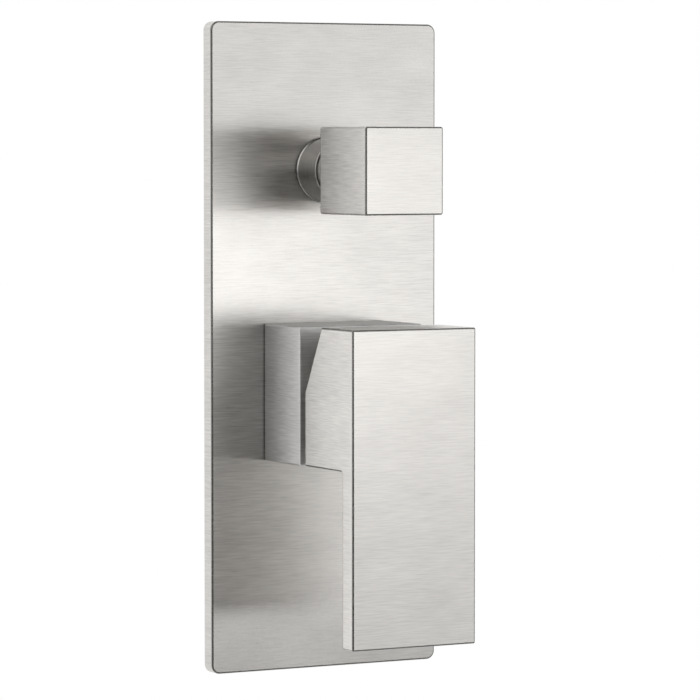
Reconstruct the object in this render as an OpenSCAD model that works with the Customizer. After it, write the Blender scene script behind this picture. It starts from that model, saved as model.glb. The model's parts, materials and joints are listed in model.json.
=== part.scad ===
// Wall mixer tap: a concealed valve with a face plate, a lever mixer and a turning diverter.
// The origin is on the mixer axis in the plane of the finished wall. X is to the right, Z is up and +Y goes
// into the wall. Modules are drawn in a wall frame whose third coordinate, the depth, is the distance out of
// the wall, so pieces inside the wall have negative depths.

/* [Face plate] */
// Width of the face plate
plate_w = 86; // [80:1:110]
// Height of the face plate
plate_h = 220; // [205:1:260]
// Depth of the face plate from the wall to its front
plate_t = 5.7; // [5.2:0.1:9]
// Wall of the face plate
plate_wall = 2.2; // [1.2:0.1:2.6]
// Radius of the corners of the face plate
plate_corner_r = 3; // [1:0.5:8]
// Distance of the mixer axis below the middle of the plate
mixer_drop = 15; // [8:1:22]
// Distance of the diverter axis above the mixer axis
axis_spacing = 75; // [72:1:90]
// Width of the foam gasket strip behind the plate
gasket_w = 6; // [3:0.5:9]
// Width of the stiffening rings round the holes of the plate
plate_ring_w = 2.4; // [1:0.2:4]
// Height of the stiffening rings
plate_ring_h = 0.9; // [0.3:0.1:1]

/* [Mixer cover] */
// Wall of the square mixer cover at the middle of each side, where its bore comes closest
cover_wall = 1.45; // [1.2:0.05:6]
// Length of the mixer cover out of the face plate
cover_len = 26.4; // [24.5:0.1:34]
// Length of the front lip of the cover
cover_lip = 2.5; // [1.5:0.1:4]
// Radius of the opening in the front lip
cover_lip_r = 17; // [16:0.1:18.5]
// Thickness of the seals between plate, cover and collar
face_seal_t = 0.5; // [0.3:0.1:0.8]
// Distance of those seals inside the visible edge
face_seal_inset = 0.4; // [0.2:0.1:0.8]

/* [Lever] */
// Width of the lever
lever_w = 46; // [42:0.5:56]
// Gap between the mixer cover and the lever
lever_gap = 3.1; // [3:0.1:5]
// Depth of the lever from the back of its block to its front face
lever_depth = 33.8; // [32:0.1:42]
// Height of the lever block above the mixer axis
block_up = 23.5; // [20:0.5:30]
// Height of the lever block below the mixer axis
block_down = 23; // [20:0.5:30]
// Height above the mixer axis where the back of the block starts to slant
slant_start = 1.5; // [0.5:0.5:3]
// Slant of the upper back of the block from the vertical
slant_angle = 28.2; // [27:0.1:32]
// Thickness of the paddle
paddle_t = 7.2; // [4:0.1:9]
// Distance of the paddle's lower end below the mixer axis
paddle_down = 81.2; // [60:0.1:110]
// Wall of the hollow lever block
lever_wall = 3.4; // [2.4:0.1:5]
// Radius of the boss that takes the spindle
lever_boss_r = 8.5; // [7:0.1:10]
// Distance of the boss inside the back of the lever block
lever_boss_recess = 4; // [3.5:0.1:6]
// Distance of the grub screw from the back of that boss
lever_screw_inset = 3.8; // [3:0.1:6]
// Wall between the hollow of the block and the front of the lever
lever_front_wall = 8.2; // [7.4:0.1:10]

/* [Diverter knob] */
// Side of the knob across its front face
knob_w = 29; // [26:0.5:34]
// Depth of the knob's cube
knob_depth = 32.3; // [28:0.1:40]
// Distance from the front of the plate to the back of the cube
knob_stand_off = 24.1; // [21:0.1:28]
// Distance of the hub's side outside the barrel that carries the collar
hub_step = 1.1; // [0.6:0.1:2]
// Distance of the hub's back in front of that barrel
hub_clear = 1; // [0.5:0.1:2]
// Distance from the back of the cube to the end of the splines in it
spline_reach = 16; // [14:0.5:20]
// Distance of the grub screw from the back of the cube
knob_screw_inset = 10; // [6:0.5:12]

/* [Diverter collar] */
// Wall of the collar round the hub
collar_wall = 0.8; // [0.6:0.1:1.5]
// Length of the collar out of the face plate
collar_len = 13.8; // [12.5:0.1:18]
// Length of the threaded part of the collar
collar_thread_len = 6.8; // [4:0.1:7.5]

/* [Valve body] */
// Wall between the floor of the mixer chamber and the waterways behind it
water_wall = 3; // [2:0.1:5]
// Distance of the back of the valve body behind the castings that take the unions
body_rim = 1; // [0.5:0.1:4]
// Wall of the neck round the cartridge nut
neck_wall = 2.4; // [1.8:0.1:3]
// Radius of the mixer chamber's casting
chamber_boss_r = 24.5; // [23:0.5:28]
// Wall of the casting round the diverter's headpart
diverter_boss_wall = 4.6; // [3:0.1:7]
// Radius of the riser between the two chambers
riser_r = 9.5; // [8:0.5:11]
// Radius of the castings that take the unions
port_boss_r = 12; // [10.5:0.5:14]
// Distance of the inlets below the mixer axis
inlet_drop = 6; // [5.5:0.5:9]
// Distance from the mixer axis to the outer end of each inlet casting
inlet_reach = 32; // [29:1:45]
// Distance from the diverter axis to the end of each outlet casting
outlet_reach = 19; // [18:1:30]
// Thickness of the fixing lugs
lug_t = 4; // [3:0.5:6]
// Radius of the end of each lug
lug_r = 6; // [5:0.5:8]
// Radius of the screw holes in the lugs
lug_hole_r = 2.75; // [2.25:0.25:3.25]
// Distance between the screw holes from side to side
lug_spacing_x = 40; // [34:1:46]
// Height of the upper screw holes above the mixer axis
lug_high = 50; // [44:1:54]
// Distance of the lower screw holes below the mixer axis
lug_low = 30; // [27:1:36]

/* [Connections] */
// Radius of the bore for a half-inch pipe thread
thread_r = 9.3; // [8.5:0.1:9.5]
// Length of that bore
thread_len = 14; // [10:1:17]
// Distance across the flats of the hexagon of a union
union_hex = 24; // [23:0.5:26]
// Length of the hexagon of a union
union_hex_len = 10; // [7:1:14]
// Length of the round end of a union
union_end_len = 8; // [5:1:14]
// Radius of the round end of a union
union_end_r = 11.8; // [11.2:0.1:13]
// Radius of the spigot that screws into the casting
spigot_r = 8.5; // [7.5:0.1:9]
// Length of that spigot
spigot_len = 8; // [6:0.5:9]
// Radius of the waterways from the inlets
inlet_bore_r = 6; // [4.5:0.1:6.2]
// Radius of the waterways round the diverter
outlet_bore_r = 4.5; // [3.5:0.1:4.8]

/* [Cartridge] */
// Distance of the fixed ceramic disc inside the bore of the casing
disc_clear = 1.5; // [0.8:0.1:2]
// Wall of the cartridge casing
casing_wall = 1.9; // [1.6:0.1:2.1]
// Width of the casing's flange, and of the nut, round the casing
flange_w = 1.6; // [1.3:0.1:2]
// Distance of the casing's front inside the front of the neck
casing_recess = 2; // [1.2:0.1:3]
// Depth of the floor of the mixer chamber behind the wall plane
chamber_floor = 16; // [15.5:0.1:16.5]
// Thickness of the cartridge base
base_t = 6.2; // [5:0.1:6.6]
// Thickness of the fixed ceramic disc
fixed_disc_t = 4.5; // [3.8:0.1:4.8]
// Thickness of the moving ceramic disc
moving_disc_t = 4; // [3.5:0.1:4.2]
// Thickness of the disc carrier between the moving disc and the spindle's tip
carrier_plate_t = 2; // [1.5:0.1:2.5]
// Radius of the fixed ceramic disc
fixed_disc_r = 14; // [13.6:0.1:15]
// Distance of the moving disc's edge inside that of the fixed disc, with both on one axis
disc_step = 1.4; // [1.1:0.1:2]
// Radius of each inlet port in the discs and the base
inlet_port_r = 3.4; // [2.6:0.1:3.6]
// Radius of the outlet port in the discs and the base
outlet_port_r = 4.2; // [3.2:0.1:4.4]
// Distance from the pivot pin to the tip that moves the disc
tip_arm = 9.5; // [9.2:0.1:9.8]
// Radius of the pivot pin
pivot_pin_r = 1.5; // [1:0.1:1.7]
// Distance of each end of the pivot pin inside the turning carrier
pivot_pin_inset = 2.2; // [1:0.1:4]
// Wall of the turning carrier in front of the pivot pin
pin_cover = 0.7; // [0.5:0.1:2]
// Side of the square spindle
spindle_w = 8; // [7:0.1:8.2]
// Length of the spindle inside the boss of the lever
spindle_reach = 9.8; // [8:0.1:12]
// Radius of the spindle's tip
tip_r = 2.6; // [2.2:0.1:2.7]
// Width of the spindle's tongue and tip along the pin
tongue_w = 6; // [5:0.1:6.4]
// Thickness of the tongue
tongue_t = 3.2; // [2.6:0.1:3.4]
// Width of the turning carrier's shoulder round its neck
rotor_step = 3.3; // [2.5:0.1:4]
// Largest lift of the lever in degrees
lift_max = 25; // [15:1:25]
// Number of notches in the front of the cartridge nut
nut_notches = 6; // [4:1:8]

/* [Diverter headpart] */
// Wall of the headpart round the diverter's discs
headpart_wall = 2.1; // [1.6:0.1:3]
// Distance of the flats of the headpart's hexagon outside its thread
headpart_hex_step = 0.7; // [0.4:0.1:2]
// Thickness of the rubber seal under the discs
diverter_seal_t = 3; // [2:0.1:4]
// Length of the headpart's hexagon
headpart_hex_len = 4.2; // [3:0.1:5]
// Radius of the barrel that carries the collar's thread
barrel_r = 9; // [8.6:0.1:9.1]
// Radius of the headpart's nose
nose_r = 7.2; // [6.4:0.1:7.4]
// Radius of the diverter spindle's journal
journal_r = 4.95; // [4.6:0.05:5.3]
// Radius over the splines of the diverter spindle
spline_r = 4; // [3.6:0.1:4.2]
// Number of splines
spline_count = 20; // [12:1:28]
// Thickness of each ceramic disc of the diverter
diverter_disc_t = 3; // [2.5:0.1:3.1]
// Radius of the ports through the diverter
diverter_port_r = 2.4; // [1.6:0.1:2.5]
// Distance of those ports from the diverter axis
diverter_port_offset = 5; // [4.6:0.1:5.2]
// Width of the disc outside those ports
port_land = 0.8; // [0.6:0.1:1.5]

/* [Screws] */
// Radius of the lever's grub screw
lever_screw_r = 2.4; // [1.9:0.1:2.9]
// Radius of the knob's grub screw
knob_screw_r = 1.9; // [1.4:0.1:2.4]
// Length of both grub screws
grub_len = 8; // [6:0.5:9]

/* [Edges] */
// Bevel along the edges of the visible pieces
edge_bevel = 0.45; // [0.2:0.05:0.7]
// Radius of the corners of the cover, lever and knob
small_corner_r = 0.8; // [0.7:0.1:1.4]

/* [Fits] */
// Radial clearance of a shaft that turns in its bore
running_gap = 0.05; // [0.03:0.01:0.08]
// Clearance between pieces that pass each other
pass_gap = 0.3; // [0.2:0.05:0.35]
// Clearance between pieces that are assembled and stay put
seat_gap = 0.1; // [0.05:0.01:0.15]
// Gap between two ceramic discs, filled with grease
film = 0.03; // [0.02:0.01:0.05]

/* [Hidden] */
$fn = 64;
// Overrun of every cut
over = 1;

// Depths along the mixer axis, from the plate outwards
cover_back = plate_t + face_seal_t;
cover_front = plate_t + cover_len;
lever_back = cover_front + lever_gap;
lever_front = lever_back + lever_depth;
paddle_back = lever_front - paddle_t;
spindle_front = lever_back + lever_boss_recess + spindle_reach;
slant_depth = lever_back + (block_up - slant_start) * tan(slant_angle);
pocket_front = lever_front - lever_front_wall;
boss_back = lever_back + lever_boss_recess;
lever_screw_depth = boss_back + lever_screw_inset;
lever_screw_boss_r = 5;
paddle_root_r = 1;

// Depths inside the cartridge, from its base outwards
base_seal_proud = 0.4;
base_back = base_seal_proud - chamber_floor;
base_front = base_back + base_t;
fixed_disc_front = base_front + fixed_disc_t;
moving_disc_back = fixed_disc_front + film;
moving_disc_front = moving_disc_back + moving_disc_t;
pocket_floor = moving_disc_front + carrier_plate_t;
rotor_back = pocket_floor + pass_gap;
tip_depth = rotor_back + tip_r;
pivot_depth = tip_depth + tip_arm;
carrier_front = tip_depth + tip_r / 2;
channel_front = carrier_front + pass_gap;
rotor_shoulder = pivot_depth + pivot_pin_r + pin_cover;
casing_lip = 2;
casing_front = rotor_shoulder + pass_gap + casing_lip;
rotor_front = casing_front + casing_lip;
neck_len = casing_front + casing_recess;

// Casing, turning carrier, nut and neck
casing_inner_r = fixed_disc_r + disc_clear;
casing_r = casing_inner_r + casing_wall;
casing_flange_back = 5;
casing_flange_t = 3;
rotor_r = casing_inner_r - pass_gap;
rotor_neck_r = rotor_r - rotor_step;
pivot_pin_len = 2 * (rotor_r - pivot_pin_inset);
chamber_r = casing_r + 2 * seat_gap;
nut_r = casing_r + flange_w;
nut_socket_r = nut_r + seat_gap;
nut_back = casing_flange_back + casing_flange_t;
nut_proud = 2;
nut_front = neck_len + nut_proud;
nut_notch_w = 4;
nut_notch_depth = 2;
neck_r = nut_socket_r + neck_wall;
cover_bore_r = neck_r + pass_gap;
cover_w = 2 * (cover_bore_r + cover_wall);
plate_mixer_hole_r = neck_r + pass_gap;
o_ring_r = 0.75;
o_ring_groove_w = 2 * o_ring_r + 4 * seat_gap;
cover_o_ring_depth = 12;
cover_o_ring_path_r = cover_bore_r - seat_gap - o_ring_r;
cover_o_ring_groove_r = cover_o_ring_path_r - o_ring_r - seat_gap / 2;

// Discs and ports; the tip moves the disc by its arm times the lift in radians
disc_travel = tip_arm * lift_max * PI / 180;
disc_shift = disc_travel / 2;
moving_disc_r = fixed_disc_r - disc_step;
carrier_r = moving_disc_r - pass_gap;
carrier_key_w = 12;
carrier_key_h = 14;
mix_recess_r = 8;
mix_recess_depth = 2;
inlet_port_x = 7.5;
inlet_port_drop = 4.5;
outlet_port_up = 7;
peg_inset = 3.9;
peg_x = casing_r - peg_inset;
peg_up = 5;
peg_r = 1.5;
peg_len = 2.5;
seal_ring_w = 1.5;
seal_depth = 1.5;

// Spindle and the slots that it moves in
eye_proud = 0.2;
eye_r = spindle_w / 2 + eye_proud;
head_slot_low = spindle_w / 2 + pass_gap;
head_slot_high = (rotor_front - pivot_depth) * tan(lift_max) + spindle_w / 2 / cos(lift_max) + 2 * pass_gap;
tongue_slot_low = tip_arm * sin(lift_max) + tip_r + pass_gap;
tongue_slot_high = tip_r + pass_gap;

// Valve body
water_depth = chamber_floor + inlet_bore_r + water_wall;
body_back = water_depth + port_boss_r + body_rim;
plate_clear = 0.4;
plate_ring_back = plate_t - plate_wall - plate_ring_h;
chamber_boss_front = plate_ring_back - 4 * plate_clear;
diverter_boss_front = plate_ring_back - plate_clear - headpart_hex_len;
run_past = 0.6;
inlet_start = inlet_port_x - inlet_port_r - run_past;
riser_start = outlet_port_up - outlet_port_r - run_past;
hex_share = 1 / cos(30);

// Collar, knob and insert on the diverter axis
collar_front = plate_t + collar_len;
collar_thread_front = cover_back + collar_thread_len;
barrel_proud = 1;
barrel_front = collar_thread_front + barrel_proud;
plate_diverter_hole_r = barrel_r + 2 * pass_gap;
hub_r = barrel_r + hub_step;
hub_back = barrel_front + hub_clear;
collar_bore_r = hub_r + pass_gap;
collar_r = collar_bore_r + collar_wall;
knob_back = plate_t + knob_stand_off;
knob_screw_depth = knob_back + knob_screw_inset;
nose_recess = 1.5;
nose_front = collar_front - nose_recess;
nose_bore_r = nose_r + 2 * pass_gap;
spline_relief = 1;
spline_height = 0.4;
spline_root_r = spline_r - spline_height;
diverter_spline_back = nose_front + spline_relief;
diverter_spline_front = knob_back + spline_reach;
insert_wall = 1.9;
insert_bore_r = spline_r + seat_gap;
insert_r = insert_bore_r + insert_wall;
insert_back = diverter_spline_back + spline_relief / 2;
insert_front = diverter_spline_front + spline_relief;

// Headpart, discs and seal of the diverter, from the front inwards
disc_chamber_r = diverter_port_offset + diverter_port_r + port_land;
headpart_r = disc_chamber_r + headpart_wall;
headpart_hex_r = (headpart_r + headpart_hex_step) * hex_share;
diverter_bore_r = headpart_r + seat_gap;
diverter_boss_r = diverter_bore_r + diverter_boss_wall;
journal_bore_r = journal_r + running_gap;
spindle_flange_t = 2.9;
spindle_flange_r = disc_chamber_r - pass_gap;
spindle_flange_front = diverter_boss_front - seat_gap;
spindle_flange_back = spindle_flange_front - spindle_flange_t;
moving_back = spindle_flange_back - diverter_disc_t;
slot_reach = diverter_port_offset + diverter_port_r / 2;
fixed_front = moving_back - film;
fixed_back = fixed_front - diverter_disc_t;
diverter_floor = diverter_seal_t - fixed_back;
headpart_lift = 1.5;
headpart_back = headpart_lift - diverter_floor;
headpart_o_ring_r = 0.5;
headpart_o_ring_inset = 2;
headpart_o_ring_depth = diverter_boss_front - headpart_o_ring_inset;
headpart_o_ring_path_r = headpart_r - headpart_o_ring_r + seat_gap / 2;
headpart_groove_r = headpart_o_ring_path_r - headpart_o_ring_r - seat_gap / 2;
headpart_groove_w = 2 * headpart_o_ring_r + 4 * seat_gap;

// Turns the wall frame, whose third coordinate is the depth out of the wall, into the part's own frame
module wall_frame() rotate([90, 0, 0]) children();

// A cylinder between two depths
module post(r, back, front) translate([0, 0, back]) cylinder(h = front - back, r = r);

// A rod along X between two places, at a height and a depth
module rod_x(r, from_x, to_x, up, depth)
    translate([from_x, up, depth]) rotate([0, 90, 0]) cylinder(h = to_x - from_x, r = r);

// A rod upwards between two heights, at a place across and a depth
module rod_up(r, from_up, to_up, across, depth)
    translate([across, from_up, depth]) rotate([-90, 0, 0]) cylinder(h = to_up - from_up, r = r);

// A box given by its width, its two heights and its two depths
module slot_box(w, low, high, back, front)
    translate([-w / 2, low, back]) cube([w, high - low, front - back]);

// A bar with its front edges bevelled along its length, centred across
module bevelled_bar(w, length, t, bevel)
    rotate([90, 0, 0])
        linear_extrude(length, center = true)
            polygon([[-w / 2, 0], [w / 2, 0], [w / 2, t - bevel], [w / 2 - bevel, t],
                     [bevel - w / 2, t], [-w / 2, t - bevel]]);

// A block with rounded upright corners and a bevel round its front face
module rounded_block(w, h, t, r, bevel) {
    bevelled_bar(w, h - 2 * r, t, bevel);
    rotate([0, 0, 90]) bevelled_bar(h, w - 2 * r, t, bevel);
    for (x = [-1, 1], y = [-1, 1])
        translate([x * (w / 2 - r), y * (h / 2 - r), 0])
            rotate_extrude() polygon([[0, 0], [r, 0], [r, t - bevel], [r - bevel, t], [0, t]]);
}

// A rectangle with rounded corners
module rounded_rectangle(w, h, r) {
    square([w - 2 * r, h], center = true);
    square([w, h - 2 * r], center = true);
    for (x = [-1, 1], y = [-1, 1]) translate([x * (w / 2 - r), y * (h / 2 - r)]) circle(r);
}

// An O-ring round the depth axis
module o_ring(path_r, r, depth) translate([0, 0, depth]) rotate_extrude() translate([path_r, 0]) circle(r);

// A ring between two radii and two depths
module ring(outer_r, inner_r, back, front)
    difference() {
        post(outer_r, back, front);
        post(inner_r, back - over, front + over);
    }

// A grub screw with a hexagon socket, pointing up, with its tip at the given height
module grub_screw(r, tip_up, depth)
    difference() {
        rod_up(r, tip_up - grub_len, tip_up, 0, depth);
        translate([0, tip_up - grub_len - over, depth])
            rotate([-90, 0, 0]) cylinder(h = grub_len / 2 + over, r = r / 2, $fn = 6);
    }

// Places the children at each of the two inlet ports
module at_inlet_ports() for (side = [-1, 1]) translate([side * inlet_port_x, -inlet_port_drop, 0]) children();

// Places the children at the outlet port
module at_outlet_port() translate([0, outlet_port_up, 0]) children();

// Places the children at the two pegs that keep the base from turning
module at_pegs() for (side = [-1, 1]) translate([side * peg_x, peg_up, 0]) children();

// Places the children at the feed, shower and bath ports of the diverter
module at_diverter_ports()
    for (turn = [-90, 0, 90]) rotate([0, 0, turn]) translate([diverter_port_offset, 0, 0]) children();

// Moves the children to the diverter axis
module on_diverter_axis() translate([0, axis_spacing, 0]) children();

module face_plate() {
    inner_h = plate_h - 2 * plate_wall;
    inner_w = plate_w - 2 * plate_wall;
    floor_d = plate_t - plate_wall;
    color("silver") wall_frame() difference() {
        union() {
            translate([0, mixer_drop, 0]) difference() {
                rounded_block(plate_w, plate_h, plate_t, plate_corner_r, edge_bevel);
                translate([0, 0, -over]) linear_extrude(floor_d + over)
                    rounded_rectangle(inner_w, inner_h, plate_corner_r / 2);
            }
            post(plate_mixer_hole_r + plate_ring_w, floor_d - plate_ring_h, floor_d);
            on_diverter_axis() post(plate_diverter_hole_r + plate_ring_w, floor_d - plate_ring_h, floor_d);
        }
        post(plate_mixer_hole_r, 0, plate_t + over);
        on_diverter_axis() post(plate_diverter_hole_r, 0, plate_t + over);
    }
}

module plate_gasket() {
    outer_w = plate_w - 2 * plate_wall - 2 * seat_gap;
    outer_h = plate_h - 2 * plate_wall - 2 * seat_gap;
    color("dimgray") wall_frame() translate([0, mixer_drop, 0])
        linear_extrude(plate_t - plate_wall) difference() {
            rounded_rectangle(outer_w, outer_h, plate_corner_r / 2);
            square([outer_w - 2 * gasket_w, outer_h - 2 * gasket_w], center = true);
        }
}

module mixer_cover()
    color("silver") wall_frame() difference() {
        translate([0, 0, cover_back])
            rounded_block(cover_w, cover_w, cover_front - cover_back, small_corner_r, edge_bevel);
        post(cover_bore_r, cover_back - over, cover_front - cover_lip);
        post(cover_lip_r, cover_back, cover_front + over);
    }

module cover_seal() {
    w = cover_w - 2 * face_seal_inset;
    color("black") wall_frame() translate([0, 0, plate_t]) linear_extrude(face_seal_t) difference() {
        square([w, w], center = true);
        circle(cover_bore_r);
    }
}

module cover_o_ring() color("black") wall_frame() o_ring(cover_o_ring_path_r, o_ring_r, cover_o_ring_depth);

module diverter_collar()
    color("silver") wall_frame() on_diverter_axis() difference() {
        translate([0, 0, cover_back]) rotate_extrude() polygon([
            [0, 0], [collar_r, 0], [collar_r, collar_front - cover_back - collar_wall / 2],
            [collar_r - collar_wall / 2, collar_front - cover_back], [0, collar_front - cover_back]]);
        post(barrel_r + seat_gap, cover_back - over, collar_front);
        post(collar_bore_r, collar_thread_front, collar_front + over);
    }

module collar_seal()
    color("black") wall_frame() on_diverter_axis()
        ring(collar_r - face_seal_inset, plate_diverter_hole_r, plate_t, cover_back);

module diverter_knob()
    color("silver") wall_frame() on_diverter_axis() difference() {
        union() {
            translate([0, 0, knob_back])
                rounded_block(knob_w, knob_w, knob_depth, small_corner_r, edge_bevel);
            post(hub_r, hub_back, knob_back + over);
        }
        post(nose_bore_r, hub_back - over, diverter_spline_back);
        post(insert_r, hub_back, insert_front + over);
        rod_up(knob_screw_r + seat_gap, -knob_w / 2 - over, 0, 0, knob_screw_depth);
    }

module knob_grub_screw()
    color("dimgray") wall_frame() on_diverter_axis() grub_screw(knob_screw_r, -spline_r, knob_screw_depth);

module spline_insert()
    color("white") wall_frame() on_diverter_axis() difference() {
        post(insert_r, insert_back, insert_front);
        post(insert_bore_r, insert_back - over, insert_front + over);
        rod_up(knob_screw_r + seat_gap, -insert_r - over, 0, 0, knob_screw_depth);
    }

// Outline of the lever from the side: depth along x and height along y
module lever_outline()
    polygon([
        [lever_back, -block_down], [lever_back, slant_start], [slant_depth, block_up],
        [lever_front - edge_bevel, block_up], [lever_front, block_up - edge_bevel],
        [lever_front, edge_bevel - paddle_down], [lever_front - edge_bevel, -paddle_down],
        [paddle_back + paddle_root_r, -paddle_down], [paddle_back, paddle_root_r - paddle_down],
        [paddle_back, -block_down - paddle_root_r], [paddle_back - paddle_root_r, -block_down]]);

// The waste outside the bevel along one side of the lever's front
module lever_edge_cut()
    translate([lever_w / 2, -paddle_down - over, lever_front]) rotate([-90, 0, 0])
        linear_extrude(paddle_down + block_up + 2 * over)
            polygon([[-edge_bevel, -over], [over, -over], [over, edge_bevel + over], [-edge_bevel, 0]]);

module lever_handle()
    color("silver") wall_frame() difference() {
        union() {
            difference() {
                rotate([0, -90, 0]) linear_extrude(lever_w, center = true) lever_outline();
                slot_box(lever_w - 2 * lever_wall, lever_wall - block_down, block_up - lever_wall,
                         lever_back - over, pocket_front);
            }
            post(lever_boss_r, boss_back, pocket_front + over);
            rod_up(lever_screw_boss_r, -block_down + lever_wall / 2, 0, 0, lever_screw_depth);
        }
        slot_box(spindle_w + 2 * seat_gap, -spindle_w / 2 - seat_gap, spindle_w / 2 + seat_gap,
                 lever_back, spindle_front + seat_gap);
        rod_up(lever_screw_r + seat_gap, -block_down - over, 0, 0, lever_screw_depth);
        for (side = [0, 1]) mirror([side, 0, 0]) lever_edge_cut();
    }

module lever_grub_screw()
    color("dimgray") wall_frame() grub_screw(lever_screw_r, -spindle_w / 2, lever_screw_depth);

module lever_spindle()
    color("goldenrod") wall_frame() difference() {
        union() {
            slot_box(spindle_w, -spindle_w / 2, spindle_w / 2, pivot_depth, spindle_front);
            rod_x(eye_r, -spindle_w / 2, spindle_w / 2, 0, pivot_depth);
            slot_box(tongue_w, -tongue_t / 2, tongue_t / 2, tip_depth, pivot_depth);
            rod_x(tip_r, -tongue_w / 2, tongue_w / 2, 0, tip_depth);
        }
        rod_x(pivot_pin_r, -spindle_w / 2 - over, spindle_w / 2 + over, 0, pivot_depth);
    }

module pivot_pin()
    color("lightgray") wall_frame() rod_x(pivot_pin_r, -pivot_pin_len / 2, pivot_pin_len / 2, 0, pivot_depth);

module turning_carrier()
    color("white") wall_frame() difference() {
        union() {
            post(rotor_r, rotor_back, rotor_shoulder);
            post(rotor_neck_r, rotor_shoulder - over, rotor_front);
        }
        slot_box(carrier_key_w + 2 * seat_gap, -rotor_r - over, rotor_r + over,
                 rotor_back - over, channel_front);
        slot_box(spindle_w + 2 * pass_gap, -head_slot_low, head_slot_high, pivot_depth, rotor_front + over);
        slot_box(tongue_w + 2 * pass_gap, -tongue_slot_low, tongue_slot_high, rotor_back, pivot_depth);
        rod_x(eye_r + pass_gap, -spindle_w / 2 - pass_gap, spindle_w / 2 + pass_gap, 0, pivot_depth);
        rod_x(pivot_pin_r + running_gap, -rotor_r - over, rotor_r + over, 0, pivot_depth);
    }

module disc_carrier()
    color("white") wall_frame() difference() {
        union() {
            translate([0, disc_shift, 0]) post(carrier_r, moving_disc_front, pocket_floor);
            slot_box(carrier_key_w, -carrier_key_h / 2, carrier_key_h / 2, moving_disc_front, carrier_front);
        }
        slot_box(tongue_w + 2 * pass_gap, -tip_r - pass_gap, tip_r + pass_gap,
                 pocket_floor, carrier_front + over);
    }

module moving_disc()
    color("whitesmoke") wall_frame() translate([0, disc_shift, 0]) difference() {
        post(moving_disc_r, moving_disc_back, moving_disc_front);
        post(mix_recess_r, moving_disc_back - over, moving_disc_back + mix_recess_depth);
    }

module fixed_disc()
    color("whitesmoke") wall_frame() difference() {
        post(fixed_disc_r, base_front, fixed_disc_front);
        at_inlet_ports() post(inlet_port_r, base_front - over, fixed_disc_front + over);
        at_outlet_port() post(outlet_port_r, base_front - over, fixed_disc_front + over);
    }

module cartridge_casing()
    color("gainsboro") wall_frame() difference() {
        union() {
            post(casing_r, base_front, casing_front);
            post(nut_r - seat_gap, casing_flange_back, nut_back);
        }
        post(casing_inner_r, base_front - over, casing_front - casing_lip);
        post(rotor_neck_r + running_gap, casing_front - casing_lip - over, casing_front + over);
    }

module cartridge_base()
    color("gray") wall_frame() difference() {
        union() {
            post(casing_r, base_back, base_front);
            at_pegs() post(peg_r, base_back - peg_len, base_back + over);
        }
        at_inlet_ports() {
            post(inlet_port_r, base_back - over, base_front + over);
            post(inlet_port_r + seal_ring_w, base_back - over, base_back + seal_depth);
        }
        at_outlet_port() {
            post(outlet_port_r, base_back - over, base_front + over);
            post(outlet_port_r + seal_ring_w, base_back - over, base_back + seal_depth);
        }
    }

// The seal round one port of the base
module port_seal(port_r)
    ring(port_r + seal_ring_w - seat_gap, port_r, -chamber_floor, base_back + seal_depth);

module base_seals()
    color("black") wall_frame() {
        at_inlet_ports() port_seal(inlet_port_r);
        at_outlet_port() port_seal(outlet_port_r);
    }

module cartridge_nut()
    color("goldenrod") wall_frame() difference() {
        ring(nut_r, casing_r + seat_gap, nut_back, nut_front);
        for (i = [0 : nut_notches - 1]) rotate([0, 0, i * 360 / nut_notches])
            translate([0, -nut_notch_w / 2, nut_front - nut_notch_depth])
                cube([nut_r + over, nut_notch_w, nut_notch_depth + over]);
    }

// A fixing lug that runs from one place to another across the back of the body
module lug_bar(from, to) {
    along = to - from;
    translate([from[0], from[1], -body_back]) rotate([0, 0, atan2(along[1], along[0])])
        translate([0, -lug_r, 0]) cube([norm(along), 2 * lug_r, lug_t]);
    translate([to[0], to[1], 0]) post(lug_r, -body_back, lug_t - body_back);
}

// The solid casting of the valve body, before its chambers and waterways are bored
module body_casting() {
    port_depth = -water_depth;
    post(chamber_boss_r, -body_back, chamber_boss_front);
    post(neck_r, 0, neck_len);
    rod_x(port_boss_r, -inlet_reach, inlet_reach, -inlet_drop, port_depth);
    rod_up(riser_r, 0, axis_spacing, 0, port_depth);
    on_diverter_axis() {
        post(diverter_boss_r, -body_back, diverter_boss_front);
        rod_up(port_boss_r, 0, outlet_reach, 0, port_depth);
        rod_x(port_boss_r, 0, outlet_reach, 0, port_depth);
    }
    for (side = [-1, 1]) {
        lug_bar([side * lug_spacing_x / 2, 0], [side * lug_spacing_x / 2, -lug_low]);
        lug_bar([0, lug_high], [side * lug_spacing_x / 2, lug_high]);
    }
}

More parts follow.
